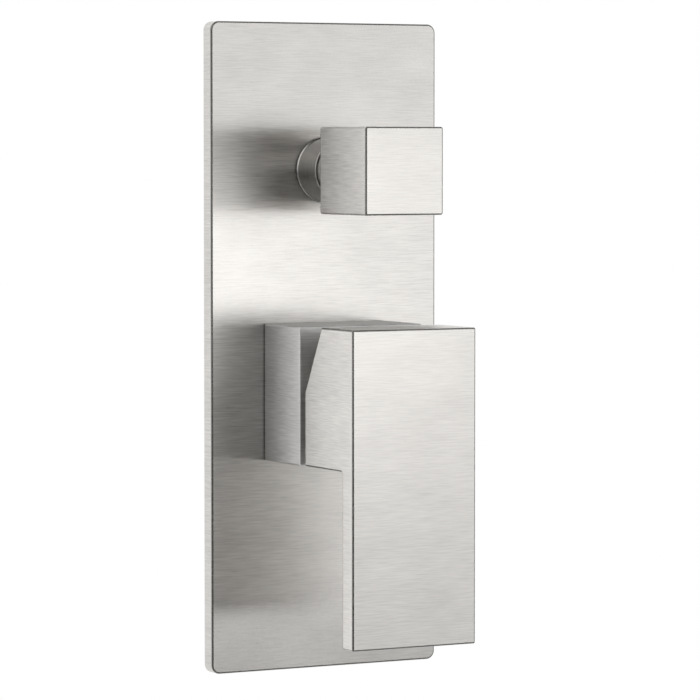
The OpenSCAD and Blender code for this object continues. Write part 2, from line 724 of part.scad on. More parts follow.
module valve_body() {
    port_depth = -water_depth;
    spigot_hole_r = spigot_r + seat_gap / 2;
    spigot_hole_len = spigot_len + seat_gap;
    color("darkgoldenrod") wall_frame() difference() {
        body_casting();
        post(chamber_r, -chamber_floor, neck_len);
        post(nut_socket_r, casing_flange_back, neck_len + over);
        ring(neck_r + over, cover_o_ring_groove_r,
             cover_o_ring_depth - o_ring_groove_w / 2, cover_o_ring_depth + o_ring_groove_w / 2);
        at_pegs() post(peg_r + seat_gap, base_back - peg_len - seat_gap, -chamber_floor + over);
        at_inlet_ports() post(inlet_port_r, port_depth, -chamber_floor + over);
        at_outlet_port() post(outlet_port_r, port_depth, -chamber_floor + over);
        for (side = [0, 1]) mirror([side, 0, 0]) {
            rod_x(inlet_bore_r, inlet_start, inlet_reach, -inlet_drop, port_depth);
            rod_x(spigot_hole_r, inlet_reach - spigot_hole_len, inlet_reach + over, -inlet_drop, port_depth);
        }
        rod_up(outlet_bore_r, riser_start, axis_spacing - diverter_port_offset, 0, port_depth);
        on_diverter_axis() {
            post(diverter_bore_r, -diverter_floor, 0);
            at_diverter_ports() post(diverter_port_r, port_depth, -diverter_floor + over);
            rod_up(outlet_bore_r, diverter_port_offset, outlet_reach, 0, port_depth);
            rod_up(spigot_hole_r, outlet_reach - spigot_hole_len, outlet_reach + over, 0, port_depth);
            rod_x(outlet_bore_r, diverter_port_offset, outlet_reach, 0, port_depth);
            rod_x(spigot_hole_r, outlet_reach - spigot_hole_len, outlet_reach + over, 0, port_depth);
        }
        for (x = [-1, 1], up = [lug_high, -lug_low])
            translate([x * lug_spacing_x / 2, up, 0])
                post(lug_hole_r, -body_back - over, lug_t - body_back + over);
    }
}

// A union with a half-inch female thread, drawn along +Z from the end of its spigot
module union_fitting()
    difference() {
        union() {
            post(spigot_r, -spigot_len, over);
            cylinder(h = union_hex_len, r = union_hex / 2 * hex_share, $fn = 6);
            post(union_end_r, 0, union_hex_len + union_end_len);
        }
        post(inlet_bore_r, -spigot_len - over, union_hex_len + union_end_len);
        post(thread_r, union_hex_len + union_end_len - thread_len, union_hex_len + union_end_len + over);
    }

// Places a union at the end of an inlet casting on the given side
module inlet_union(side)
    color("goldenrod") wall_frame() translate([side * inlet_reach, -inlet_drop, -water_depth])
        rotate([0, side * 90, 0]) rotate([0, 0, 90]) union_fitting();

module hot_union() inlet_union(-1);

module cold_union() inlet_union(1);

module shower_union()
    color("goldenrod") wall_frame() translate([0, axis_spacing + outlet_reach, -water_depth])
        rotate([-90, 0, 0]) union_fitting();

module bath_union()
    color("goldenrod") wall_frame() translate([outlet_reach, axis_spacing, -water_depth])
        rotate([0, 90, 0]) rotate([0, 0, 90]) union_fitting();

module diverter_headpart()
    color("goldenrod") wall_frame() on_diverter_axis() difference() {
        union() {
            post(headpart_r, headpart_back, 0);
            translate([0, 0, diverter_boss_front])
                cylinder(h = headpart_hex_len, r = headpart_hex_r, $fn = 6);
            post(barrel_r, 0, barrel_front);
            post(nose_r, 0, nose_front);
        }
        post(disc_chamber_r, headpart_back - over, diverter_boss_front);
        post(journal_bore_r, headpart_back, nose_front + over);
        ring(headpart_r + over, headpart_groove_r, headpart_o_ring_depth - headpart_groove_w / 2,
             headpart_o_ring_depth + headpart_groove_w / 2);
    }

module headpart_o_ring()
    color("black") wall_frame() on_diverter_axis()
        o_ring(headpart_o_ring_path_r, headpart_o_ring_r, headpart_o_ring_depth);

// Outline of the splined end of the diverter spindle
module spline_outline()
    polygon([for (i = [0 : 2 * spline_count - 1])
        let (r = i % 2 == 0 ? spline_r : spline_root_r, a = i * 180 / spline_count)
            [r * cos(a), r * sin(a)]]);

module diverter_spindle()
    color("goldenrod") wall_frame() on_diverter_axis() {
        post(spindle_flange_r, spindle_flange_back, spindle_flange_front);
        post(journal_r, spindle_flange_back, diverter_spline_back);
        translate([0, 0, diverter_spline_back]) linear_extrude(diverter_spline_front - diverter_spline_back)
            spline_outline();
    }

module diverter_moving_disc()
    color("whitesmoke") wall_frame() on_diverter_axis() difference() {
        post(spindle_flange_r, moving_back, spindle_flange_back);
        for (turn = [-90, 0]) rotate([0, 0, turn]) translate([0, -diverter_port_r, moving_back - over])
            cube([slot_reach, 2 * diverter_port_r, over + diverter_disc_t / 2]);
    }

module diverter_fixed_disc()
    color("whitesmoke") wall_frame() on_diverter_axis() difference() {
        post(disc_chamber_r - seat_gap, fixed_back, fixed_front);
        at_diverter_ports() post(diverter_port_r, fixed_back - over, fixed_front + over);
    }

module diverter_seal()
    color("black") wall_frame() on_diverter_axis() difference() {
        post(disc_chamber_r - seat_gap, -diverter_floor, fixed_back);
        at_diverter_ports() post(diverter_port_r, -diverter_floor - over, fixed_back + over);
    }

face_plate();
plate_gasket();
mixer_cover();
cover_seal();
cover_o_ring();
diverter_collar();
collar_seal();
diverter_knob();
knob_grub_screw();
spline_insert();
lever_handle();
lever_grub_screw();
lever_spindle();
pivot_pin();
turning_carrier();
disc_carrier();
moving_disc();
fixed_disc();
cartridge_casing();
cartridge_base();
base_seals();
cartridge_nut();
valve_body();
hot_union();
cold_union();
shower_union();
bath_union();
diverter_headpart();
headpart_o_ring();
diverter_spindle();
diverter_moving_disc();
diverter_fixed_disc();
diverter_seal();
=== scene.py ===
"""The looks of a wall mixer tap: its brushed trim, its valve in the wall, a plain studio and the camera.

Lengths are in metres. X is to the right, Z is up and +Y goes into the wall, whose finished face is y = 0.
The depth of a point is its distance out of the wall, which is -y.
"""
import json
import logging
import math
from dataclasses import dataclass, field
from enum import Enum

import bmesh
import bpy
import numpy as np
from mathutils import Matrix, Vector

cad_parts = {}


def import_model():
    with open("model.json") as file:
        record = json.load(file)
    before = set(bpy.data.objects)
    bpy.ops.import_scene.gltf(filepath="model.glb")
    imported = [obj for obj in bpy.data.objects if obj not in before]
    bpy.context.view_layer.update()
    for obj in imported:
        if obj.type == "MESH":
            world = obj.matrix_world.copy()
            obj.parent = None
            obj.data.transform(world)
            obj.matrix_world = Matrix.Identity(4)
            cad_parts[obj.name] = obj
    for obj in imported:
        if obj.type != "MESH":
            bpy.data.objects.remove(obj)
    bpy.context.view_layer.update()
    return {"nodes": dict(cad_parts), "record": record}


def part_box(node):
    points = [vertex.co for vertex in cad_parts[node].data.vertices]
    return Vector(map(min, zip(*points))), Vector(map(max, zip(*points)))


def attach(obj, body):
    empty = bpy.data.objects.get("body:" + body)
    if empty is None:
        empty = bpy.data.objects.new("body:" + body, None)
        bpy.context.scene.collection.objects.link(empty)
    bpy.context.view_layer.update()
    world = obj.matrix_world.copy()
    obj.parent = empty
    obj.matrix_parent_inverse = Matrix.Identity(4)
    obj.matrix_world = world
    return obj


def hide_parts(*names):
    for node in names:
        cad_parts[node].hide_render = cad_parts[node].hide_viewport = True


log = logging.getLogger("wall_mixer")
MM = 0.001
Colour = tuple[float, float, float]
WHITE: Colour = (1.0, 1.0, 1.0)


# Shader maths

# The middle of a value from 0 to 1, and the spread that makes a sharp step at it
HALFWAY, SHARP = 0.5, 0.01


class Value:
    """An output socket whose arithmetic adds Math nodes."""

    def __init__(self, shader: "NodeTree", socket: bpy.types.NodeSocket) -> None:
        """Keeps the shader and the socket that is wrapped."""
        self.shader = shader
        self.socket = socket

    def _math(self, operation: str, *values: "Value | float") -> "Value":
        """Adds a Math node of the given operation on the values."""
        made = self.shader.add("ShaderNodeMath", {"operation": operation}, dict(enumerate(values)))
        return Value(self.shader, made.outputs[0])

    def __add__(self, other: "Value | float") -> "Value":
        """Sum."""
        return self._math("ADD", self, other)

    __radd__ = __add__

    def __mul__(self, other: "Value | float") -> "Value":
        """Product."""
        return self._math("MULTIPLY", self, other)

    __rmul__ = __mul__

    def __sub__(self, other: "Value | float") -> "Value":
        """Difference."""
        return self._math("SUBTRACT", self, other)

    def __rsub__(self, other: float) -> "Value":
        """Difference from a number."""
        return self._math("SUBTRACT", other, self)

    def __abs__(self) -> "Value":
        """Size without its sign."""
        return self._math("ABSOLUTE", self)

    def above(self, edge: float, spread: float) -> "Value":
        """Rises from 0 to 1 as the value passes the edge, over the given spread."""
        made = self.shader.add("ShaderNodeMapRange", {"interpolation_type": "SMOOTHSTEP"},
                               {"Value": self, "From Min": edge - spread, "From Max": edge + spread})
        return Value(self.shader, made.outputs["Result"])

    def about(self, middle: float, spread: float) -> "Value":
        """Moves a value that runs from 0 to 1 so that it runs over the spread, about the middle."""
        return (self - HALFWAY) * spread + middle


Place = tuple[Value, Value, Value]


class NodeTree:
    """The node tree of a material or the world, with its nodes added by name."""

    def __init__(self, owner: bpy.types.Material | bpy.types.World, output: str) -> None:
        """Empties the owner's tree and adds its output node.

        Args:
            owner: the material or the world.
            output: the type of its output node.
        """
        owner.use_nodes = True
        self.tree = owner.node_tree
        self.tree.nodes.clear()
        self.output = self.add(output)

    def add(self, kind: str, settings: dict | None = None, inputs: dict | None = None) -> bpy.types.Node:
        """Adds a node.

        Args:
            kind: the node's type.
            settings: attributes that are set before the inputs.
            inputs: values or links, by the input's name or number.

        Returns:
            The node.
        """
        made = self.tree.nodes.new(kind)
        for name, value in (settings or {}).items():
            setattr(made, name, value)
        for name, value in (inputs or {}).items():
            self.feed(made.inputs[name], value)
        return made

    def feed(self, socket: bpy.types.NodeSocket, value: object) -> None:
        """Gives an input its link or its own value.

        Args:
            socket: the input.
            value: a Value or a socket, which is linked, or else a number or a colour, which is set.
        """
        if isinstance(value, Value):
            value = value.socket
        if isinstance(value, bpy.types.NodeSocket):
            self.tree.links.new(value, socket)
        elif isinstance(value, tuple) and len(value) == 3 and socket.type == "RGBA":
            socket.default_value = (*value, 1.0)
        else:
            socket.default_value = value

    def value(self, node: bpy.types.Node, output: str) -> Value:
        """Wraps an output of a node."""
        return Value(self, node.outputs[output])

    def finish(self, surface: bpy.types.NodeSocket) -> None:
        """Links the last surface to the output."""
        self.tree.links.new(surface, self.output.inputs["Surface"])

    def ray_is(self, *kinds: str) -> Value:
        """Tells the rays that light a surface apart.

        Args:
            kinds: the kinds of ray that count, such as Camera.

        Returns:
            One where the ray is of one of the kinds, and otherwise zero.
        """
        path = self.add("ShaderNodeLightPath")
        seen = [self.value(path, f"Is {kind} Ray") for kind in kinds]
        return sum(seen[1:], seen[0]).above(HALFWAY, SHARP)


# The two colour inputs of a Mix node and its colour output, which share their names with others
MIX_FIRST, MIX_SECOND, MIX_RESULT = 6, 7, 2


class Shader(NodeTree):
    """The node tree of a new material."""

    def __init__(self, name: str) -> None:
        """Makes an empty material of that name."""
        self.material = bpy.data.materials.new(name)
        super().__init__(self.material, "ShaderNodeOutputMaterial")

    def axes(self, output: str) -> Place:
        """Takes an output of Texture Coordinate apart.

        Args:
            output: the output's name, such as Object or Normal.

        Returns:
            Its X, Y and Z.
        """
        at = self.add("ShaderNodeTexCoord")
        apart = self.add("ShaderNodeSeparateXYZ", inputs={0: at.outputs[output]})
        return tuple(self.value(apart, axis) for axis in ("X", "Y", "Z"))

    def place(self) -> Place:
        """The place on the piece, in the part's own frame."""
        return self.axes("Object")

    def facing_up(self) -> Value:
        """How much the surface faces up or down, from 0 to 1."""
        return abs(self.axes("Normal")[2])

    def noise(self, at: Place, scale: tuple[float, float, float], detail: float = 2.0) -> Value:
        """Noise from 0 to 1 over the piece.

        Args:
            at: the place on the piece.
            scale: how many grains there are in a metre along X, Y and Z.
            detail: how many finer layers are added.

        Returns:
            The noise at the place, each of whose axes is multiplied by its scale.
        """
        scaled = (axis * grains for axis, grains in zip(at, scale))
        vector = self.add("ShaderNodeCombineXYZ", inputs=dict(enumerate(scaled)))
        made = self.add("ShaderNodeTexNoise",
                        inputs={"Vector": vector.outputs[0], "Scale": 1.0, "Detail": detail})
        return self.value(made, "Fac")

    def tint(self, colour: Colour, dark: float, light: float, share: Value) -> bpy.types.NodeSocket:
        """A colour that varies over the surface.

        Args:
            colour: the colour in the middle.
            dark: the factor on it where the share is 0.
            light: the factor on it where the share is 1.
            share: the pattern.

        Returns:
            The varied colour.
        """
        made = self.add("ShaderNodeMix", {"data_type": "RGBA"},
                        {0: share, MIX_FIRST: shade(colour, dark), MIX_SECOND: shade(colour, light)})
        return made.outputs[MIX_RESULT]

    def bump(self, height: Value, depth: float, strength: float) -> bpy.types.NodeSocket:
        """A normal that follows a height from 0 to 1, for the given real depth."""
        made = self.add("ShaderNodeBump", inputs={"Strength": strength, "Distance": depth, "Height": height})
        return made.outputs[0]

    def surface(self, **inputs: object) -> bpy.types.Material:
        """Adds the surface shader and links it to the output.

        Args:
            inputs: its inputs, whose names are written small and with underscores.

        Returns:
            The material.
        """
        words = {name.replace("_", " ").title(): value for name, value in inputs.items()}
        self.finish(self.add("ShaderNodeBsdfPrincipled", inputs=words).outputs[0])
        return self.material


def shade(colour: Colour, factor: float) -> Colour:
    """The colour made lighter or darker by a factor."""
    return tuple(min(1.0, part * factor) for part in colour)


# The finishes

class Grain(Enum):
    """The way in which the brush ran over a metal piece."""

    LEVEL = "level lines on upright faces, and lines across on faces that look up"
    ROUND = "lines round a turned piece whose axis stands out of the wall"


@dataclass(frozen=True)
class BrushedNickel:
    """Brushed nickel: fine lines left by the brush, with a soft sheen drawn out across them."""

    name: str
    colour: Colour
    grain: Grain = Grain.LEVEL
    roughness: float = 0.42
    roughness_spread: float = 0.16
    stretch: float = 0.25
    line_pitch: float = 0.00040
    line_length: float = 0.0075
    line_contrast: float = 0.37
    line_share: float = 0.75
    line_depth: float = 0.000016
    line_bump: float = 0.35
    cloud_size: float = 0.022
    cloud_detail: float = 3.0
    upper_from: float = 0.7
    upper_spread: float = 0.1

    def lines(self, shader: Shader, at: Place) -> Value:
        """Noise drawn out along the brush, which runs level, or across on a face that looks up.

        Args:
            shader: the material's nodes.
            at: the place on the piece.

        Returns:
            The height of the lines, from 0 to 1.
        """
        along, across = 1 / self.line_length, 1 / self.line_pitch
        if self.grain is Grain.ROUND:
            return shader.noise(at, (along, across, along))
        upright = shader.noise(at, (along, along, across))
        upper = shader.noise(at, (along, across, along))
        up = shader.facing_up().above(self.upper_from, self.upper_spread)
        return upright * (1 - up) + upper * up

    def material(self) -> bpy.types.Material:
        """Makes the material.

        Returns:
            The material, whose colour follows the lines and, for the rest of the share, wide clouds.
        """
        shader = Shader(self.name)
        at = shader.place()
        lines = self.lines(shader, at)
        wide = 1 / self.cloud_size
        cloud = shader.noise(at, (wide, wide, 2 * wide), self.cloud_detail)
        share = lines * self.line_share + cloud * (1 - self.line_share)
        return shader.surface(
            base_color=shader.tint(self.colour, 1 - self.line_contrast, 1 + self.line_contrast, share),
            metallic=1.0, roughness=lines.about(self.roughness, self.roughness_spread),
            anisotropic=self.stretch, normal=shader.bump(lines, self.line_depth, self.line_bump))


@dataclass(frozen=True)
class CastBrass:
    """Sand-cast brass with a fine grit and darker patches."""

    name: str
    colour: Colour
    roughness: float = 0.42
    roughness_spread: float = 0.2
    grit_size: float = 0.0007
    grit_depth: float = 0.00008
    grit_bump: float = 0.6
    grit_share: float = 0.4
    patch_size: float = 0.012
    darkest: float = 0.72
    lightest: float = 1.12
    detail: float = 3.0

    def material(self) -> bpy.types.Material:
        """Makes the material.

        Returns:
            The material, whose colour follows the grit and, for the rest of the share, the patches.
        """
        shader = Shader(self.name)
        at = shader.place()
        grit = shader.noise(at, (1 / self.grit_size,) * 3, self.detail)
        patch = shader.noise(at, (1 / self.patch_size,) * 3, self.detail)
        share = grit * self.grit_share + patch * (1 - self.grit_share)
        return shader.surface(
            base_color=shader.tint(self.colour, self.darkest, self.lightest, share),
            metallic=1.0, roughness=grit.about(self.roughness, self.roughness_spread),
            normal=shader.bump(grit, self.grit_depth, self.grit_bump))


@dataclass(frozen=True)
class TurnedMetal:
    """Metal from the lathe or mill, with fine tool marks across the Y axis."""

    name: str
    colour: Colour
    roughness: float = 0.24
    roughness_spread: float = 0.1
    mark_pitch: float = 0.00022
    marks_along: float = 180.0
    mark_depth: float = 0.00001
    mark_bump: float = 0.4
    darkest: float = 0.9
    lightest: float = 1.08

    def material(self) -> bpy.types.Material:
        """Makes the material.

        Returns:
            The material, whose marks are noise drawn out in X and Z.
        """
        shader = Shader(self.name)
        marks = shader.noise(shader.place(), (self.marks_along, 1 / self.mark_pitch, self.marks_along))
        return shader.surface(
            base_color=shader.tint(self.colour, self.darkest, self.lightest, marks),
            metallic=1.0, roughness=marks.about(self.roughness, self.roughness_spread),
            normal=shader.bump(marks, self.mark_depth, self.mark_bump))


@dataclass(frozen=True)
class Moulded:
    """A moulded or pressed non-metal, with a fine skin and a faint unevenness of colour."""

    name: str
    colour: Colour
    roughness: float
    roughness_spread: float = 0.12
    skin_size: float = 0.0006
    skin_depth: float = 0.00003
    skin_bump: float = 0.5
    skin_share: float = 0.4
    skin_detail: float = 3.0
    clouds: float = 90.0
    unevenness: float = 0.08

    def material(self) -> bpy.types.Material:
        """Makes the material.

        Returns:
            The material, whose colour follows the skin and, for the rest of the share, clouds.
        """
        shader = Shader(self.name)
        at = shader.place()
        skin = shader.noise(at, (1 / self.skin_size,) * 3, self.skin_detail)
        cloud = shader.noise(at, (self.clouds,) * 3)
        share = skin * self.skin_share + cloud * (1 - self.skin_share)
        return shader.surface(
            base_color=shader.tint(self.colour, 1 - self.unevenness, 1 + self.unevenness, share),
            roughness=skin.about(self.roughness, self.roughness_spread),
            normal=shader.bump(skin, self.skin_depth, self.skin_bump))


class Finishes:
    """Every finish of the object, made once."""

    def __init__(self) -> None:
        """Makes the materials."""
        nickel = (0.612, 0.598, 0.574)
        self.sheet = BrushedNickel("brushed_nickel_sheet", nickel, roughness=0.32, stretch=0.9,
                                   line_contrast=0.46).material()
        self.trim = BrushedNickel("brushed_nickel", shade(nickel, factor=1.16)).material()
        # The cover's nickel is lighter than the other trim. This is painted light that lifts the cover's
        # sides out of the shade next to the plate.
        self.cover = BrushedNickel("brushed_nickel_cover_painted_light", shade(nickel, factor=1.3),
                                   roughness=0.5).material()
        # The rim finish is the nickel made much darker. It is painted shade: a dark line along every rounded
        # edge that stands in for the edges' dark reflections.
        self.rim = BrushedNickel("nickel_painted_dark_edge", shade(nickel, factor=0.42), roughness=0.27,
                                 line_pitch=0.002, line_contrast=0.1, line_depth=0.000001).material()
        self.collar = BrushedNickel("brushed_nickel_round", shade(nickel, factor=0.97), Grain.ROUND,
                                    roughness=0.22, stretch=0.0).material()
        self.cast = CastBrass("cast_brass", (0.66, 0.50, 0.26)).material()
        self.turned = TurnedMetal("turned_brass", (0.76, 0.60, 0.31)).material()
        self.steel = TurnedMetal("plain_steel", (0.42, 0.42, 0.43), roughness=0.3).material()
        self.seal = Moulded("black_rubber", (0.022, 0.022, 0.024), roughness=0.55).material()
        self.foam = Moulded("closed_cell_foam", (0.12, 0.12, 0.13), roughness=0.85, skin_size=0.0012,
                            skin_depth=0.0002, unevenness=0.25).material()
        self.white_plastic = Moulded("acetal", (0.80, 0.80, 0.77), roughness=0.38).material()
        self.grey_plastic = Moulded("filled_plastic", (0.27, 0.28, 0.29), roughness=0.48,
                                    skin_size=0.0009).material()
        self.ceramic = Moulded("ceramic", (0.83, 0.82, 0.79), roughness=0.16, skin_size=0.0004,
                               skin_depth=0.000004, unevenness=0.03).material()

    def for_slot(self, slot: str) -> bpy.types.Material:
        """The material of one of the record's slots."""
        return {"trim": self.trim, "collar": self.collar, "valve_brass": self.cast,
                "turned_brass": self.turned, "steel": self.steel, "seal": self.seal, "foam": self.foam,
                "white_plastic": self.white_plastic, "grey_plastic": self.grey_plastic,
                "ceramic": self.ceramic}[slot]


# Surfaces

ARC_STEPS = 15
FILLET_STEPS = 5
FILLET_TURNS = np.linspace(0.0, np.pi / 2, FILLET_STEPS + 1)
SHARP_ANGLE = math.radians(35)
FLAT_FACE_WEIGHT = 100
MERGE_DISTANCE = 0.001 * MM


def circle_loop(radius: float) -> np.ndarray:
    """A circle whose points match those of rounded_loop, spread evenly, each quarter by itself.

    Args:
        radius: the circle's radius.

    Returns:
        The points, at radius * cos and radius * sin of angles that start half a step past zero.
    """
    count = 4 * (ARC_STEPS + 1)
    angle = (np.arange(count) + 0.5) * (2 * np.pi / count)
    return radius * np.stack([np.cos(angle), np.sin(angle)], axis=1)


def rounded_loop(width: float, height: float, radius: float) -> np.ndarray:
    """A rectangle with rounded corners.

    Args:
        width: its width.
        height: its height.
        radius: the radius of its corners.

    Returns:
        The points. Each quarter's points lie on its corner's arc, and the sides join the arcs.
    """
    turn = np.linspace(0.0, np.pi / 2, ARC_STEPS + 1)
    quarters = []
    for quarter, (sx, sy) in enumerate(((1, 1), (-1, 1), (-1, -1), (1, -1))):
        angle = turn + quarter * np.pi / 2
        centre = np.array([sx * (width / 2 - radius), sy * (height / 2 - radius)])
        quarters.append(centre + radius * np.stack([np.cos(angle), np.sin(angle)], axis=1))
    return np.concatenate(quarters)


def skin_faces(rows: int, count: int, closed: bool) -> list[list[int]]:
    """The faces of a skin through loops of points.

    Args:
        rows: how many loops there are.
        count: the number of points in each.
        closed: the last loop joins the first, as on a ring; otherwise both ends get a flat cap.

    Returns:
        A quad from each point to the next one of its loop and to those two of the following loop, row by row,
        and then the caps.
    """
    row, column = np.divmod(np.arange((rows if closed else rows - 1) * count), count)
    following, beside = (row + 1) % rows, (column + 1) % count
    faces = np.stack([row * count + column, following * count + column,
                      following * count + beside, row * count + beside], axis=1).tolist()
    if not closed:
        faces.append(list(range(count)))
        faces.append(list(range((rows - 1) * count, rows * count))[::-1])
    return faces


def mesh_piece(name: str, points: np.ndarray, faces: list[list[int]],
               marks: list[bool] | None = None) -> bpy.types.Object:
    """Makes an object from points and faces, merges doubled points and turns every face outwards.

    Args:
        name: the piece's name.
        points: a row of three coordinates for each point.
        faces: the points of each face.
        marks: for the first faces, whether each lies on a rounded rim, which gets the second material.

    Returns:
        The object, with its place in its mesh.
    """
    mesh = bpy.data.meshes.new(name)
    mesh.from_pydata(points.tolist(), [], faces)
    if marks is not None:
        second = np.zeros(len(faces), np.int32)
        second[:len(marks)] = marks
        mesh.polygons.foreach_set("material_index", second)
    made = bpy.data.objects.new(name, mesh)
    bpy.context.scene.collection.objects.link(made)
    shell = bmesh.new()
    shell.from_mesh(mesh)
    bmesh.ops.remove_doubles(shell, verts=shell.verts, dist=MERGE_DISTANCE)
    bmesh.ops.recalc_face_normals(shell, faces=shell.faces)
    shell.to_mesh(mesh)
    shell.free()
    return made


@dataclass
class Loft:
    """A skin through loops: each station is a loop in the plane of the wall, set at a depth."""

    up: float = 0.0
    stations: list[np.ndarray] = field(default_factory=list)
    rims: set[int] = field(default_factory=set)

    def ring(self, radius: float, depth: float) -> "Loft":
        """Adds a circle at a depth."""
        return self.loop(circle_loop(radius), depth)

    def rounded(self, width: float, height: float, corner: float, depth: float) -> "Loft":
        """Adds a rounded rectangle at a depth."""
        return self.loop(rounded_loop(width, height, corner), depth)

    def loop(self, points: np.ndarray, depth: float) -> "Loft":
        """Adds a loop of points, where x and z are the points' coordinates and y is minus the depth.

        Args:
            points: the loop's points about the loft's axis.
            depth: how far they lie out of the wall.

        Returns:
            The loft.
        """
        flat = np.full(len(points), -depth)
        self.stations.append(np.stack([points[:, 0], flat, points[:, 1] + self.up], axis=1))
        return self

    def fillet_ring(self, radius: float, depth: float, size: float) -> "Loft":
        """Adds the rounded outer edge of a turned piece's front.

        The angle t runs over a quarter turn: the radius shrinks by size * (1 - cos t), and the depth rises by
        size * sin t to the given one.

        Args:
            radius: the piece's radius.
            depth: the depth of its front.
            size: the radius of the rounding.

        Returns:
            The loft.
        """
        for t in FILLET_TURNS:
            self.ring(radius - size * (1 - math.cos(t)), depth - size + size * math.sin(t))
        return self

    def fillet_block(self, width: float, height: float, corner: float, depth: float, size: float,
                     front: bool) -> "Loft":
        """Adds the rounded edge of a block's front, from the side inwards, or of its back, out to the side.

        The angle t runs over a quarter turn: each side comes in by size * (1 - cos t), and the depth is short
        of the given one by size * (1 - sin t).

        Args:
            width: the block's width.
            height: its height.
            corner: the radius of its corners.
            depth: the depth of its front or back.
            size: the radius of the rounding.
            front: whether the edge is the front's.

        Returns:
            The loft.
        """
        self.rims.update(range(len(self.stations), len(self.stations) + FILLET_STEPS))
        for t in FILLET_TURNS if front else FILLET_TURNS[::-1]:
            inset = size * (1 - math.cos(t))
            step = size * (1 - math.sin(t))
            self.rounded(width - 2 * inset, height - 2 * inset, corner - inset,
                         depth - step if front else depth + step)
        return self

    def piece(self, name: str, closed: bool) -> bpy.types.Object:
        """Makes the mesh.

        Args:
            name: the piece's name.
            closed: the last station joins the first, as on a ring; otherwise both ends get a flat cap.

        Returns:
            The object, with its place in its mesh.
        """
        grid = np.array(self.stations)
        rows, count = grid.shape[:2]
        marks = np.repeat([index in self.rims for index in range(rows if closed else rows - 1)], count)
        return mesh_piece(name, grid.reshape(-1, 3), skin_faces(rows, count, closed), marks.tolist())


def upright_rod(name: str, radius: float, low: float, high: float, depth: float) -> bpy.types.Object:
    """Makes a rod that stands upright on the plane x = 0.

    Args:
        name: the rod's name.
        radius: its radius.
        low: the height of its lower end.
        high: the height of its upper end.
        depth: how far its axis lies out of the wall.

    Returns:
        The object: two circles, joined by its side and closed by a cap each.
    """
    flat = circle_loop(radius)
    ends = [np.stack([flat[:, 0], flat[:, 1] - depth, np.full(len(flat), height)], axis=1)
            for height in (low, high)]
    return mesh_piece(name, np.concatenate(ends), skin_faces(2, len(flat), closed=False))


def filleted_outline(corners: list[tuple[float, float, float]]) -> tuple[np.ndarray, np.ndarray]:
    """Rounds the corners of an outline that runs anticlockwise.

    Args:
        corners: each corner's two coordinates and the radius of its fillet.

    Returns:
        The points of the outline and the outward normal at each, with an arc of even steps at every corner.
    """
    points, normals = [], []
    place = np.array([corner[:2] for corner in corners])
    for index, (x, y, radius) in enumerate(corners):
        here = np.array([x, y])
        before = here - place[index - 1]
        after = place[(index + 1) % len(corners)] - here
        before, after = before / np.linalg.norm(before), after / np.linalg.norm(after)
        turn = math.atan2(before[0] * after[1] - before[1] * after[0], before @ after)
        side = 1.0 if turn > 0 else -1.0
        start = here - before * radius * math.tan(abs(turn) / 2)
        inner = np.array([-before[1], before[0]]) * side
        centre = start + inner * radius
        first = math.atan2(-inner[1], -inner[0])
        angle = first + np.linspace(0.0, turn, FILLET_STEPS + 1)
        out = np.stack([np.cos(angle), np.sin(angle)], axis=1)
        points.append(centre + radius * out)
        normals.append(out * side)
    return np.concatenate(points), np.concatenate(normals)


def extruded_piece(name: str, outline: np.ndarray, normals: np.ndarray, width: float,
                   edge: float) -> bpy.types.Object:
    """Carries an outline of depth and height along X and rounds both its rims.

    At a rim the angle t runs over a quarter turn: the outline moves inwards along its normals by
    edge * (1 - cos t), while x reaches width / 2 - edge + edge * sin t.

    Args:
        name: the piece's name.
        outline: the outline's points, with FILLET_STEPS + 1 of them on each of its fillets.
        normals: the outward normal at each point.
        width: the piece's width along X.
        edge: the radius of its rims.

    Returns:
        The object. Its rims and the outline's own fillets get the second material.
    """
    inset = edge * (1 - np.cos(FILLET_TURNS))
    reach = width / 2 - edge + edge * np.sin(FILLET_TURNS)
    insets = np.concatenate([inset[::-1], inset])
    places = np.concatenate([-reach[::-1], reach])
    flat = outline[None, :, :] - insets[:, None, None] * normals[None, :, :]
    x = np.broadcast_to(places[:, None], flat.shape[:2])
    grid = np.stack([x, -flat[:, :, 0], flat[:, :, 1]], axis=-1)
    rows, count = grid.shape[:2]
    row, column = np.divmod(np.arange((rows - 1) * count), count)
    marks = (row != FILLET_STEPS) | (column % (FILLET_STEPS + 1) != FILLET_STEPS)
    return mesh_piece(name, grid.reshape(-1, 3), skin_faces(rows, count, closed=False), marks.tolist())


def cut(piece: bpy.types.Object, tool: bpy.types.Object, operation: str = "DIFFERENCE") -> None:
    """Takes a tool's shape out of a piece, or joins it on, and removes the tool.

    Args:
        piece: the piece that is changed.
        tool: the shape that it is changed by.
        operation: DIFFERENCE to take the shape out, or UNION to join it on.
    """
    step = piece.modifiers.new("cut", "BOOLEAN")
    step.operation, step.object, step.solver = operation, tool, "EXACT"
    bpy.context.view_layer.update()
    done = bpy.data.meshes.new_from_object(piece.evaluated_get(bpy.context.evaluated_depsgraph_get()))
    piece.modifiers.clear()
    piece.data = done
    done.name = piece.name
    bpy.data.objects.remove(tool)


